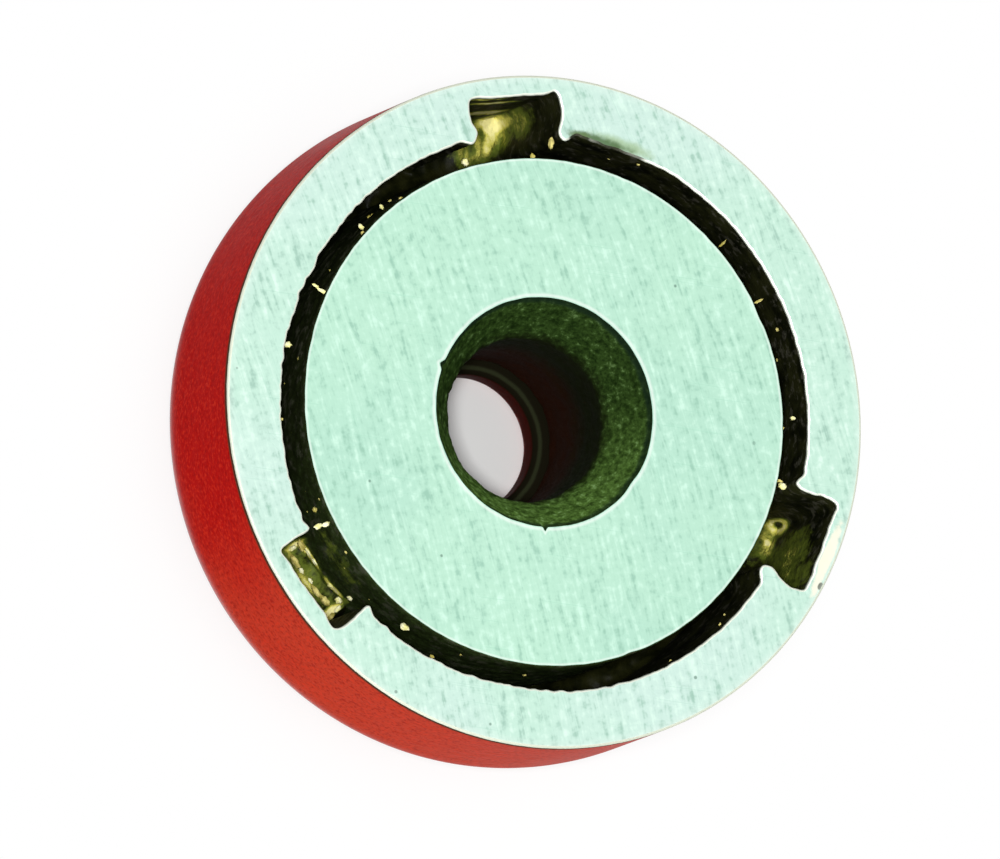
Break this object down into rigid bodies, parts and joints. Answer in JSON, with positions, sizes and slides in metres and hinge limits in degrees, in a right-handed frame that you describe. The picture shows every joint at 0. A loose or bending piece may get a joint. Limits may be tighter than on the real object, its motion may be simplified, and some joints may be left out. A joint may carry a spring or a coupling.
{
  "type": "pot magnet",
  "caption": "Shallow round pot magnet: a red-painted steel cup round a ring-shaped magnet, with a flat ground working face and a countersunk screw hole through the middle.",
  "frame": {"origin": "centre of the flat painted back, on the part's axis", "axes": "+Z along the axis, out of the working face; +Y through the middle of the first notch in the rim"},
  "size_m": [0.019, 0.019, 0.007],
  "materials": {
    "painted_cup": "glossy red enamel outside, underneath and in the screw hole; bare ground steel on the rim's face, bare inside",
    "alnico": "fine-ground bright pole face with straight scratches, dark as-cast bore and side",
    "resin": "glossy olive-gold bonding resin"
  },
  "bodies": {
    "root": {"pot_shell": "painted_cup", "magnet_core": "alnico", "resin_bed": "resin"}
  },
  "joints": []
}
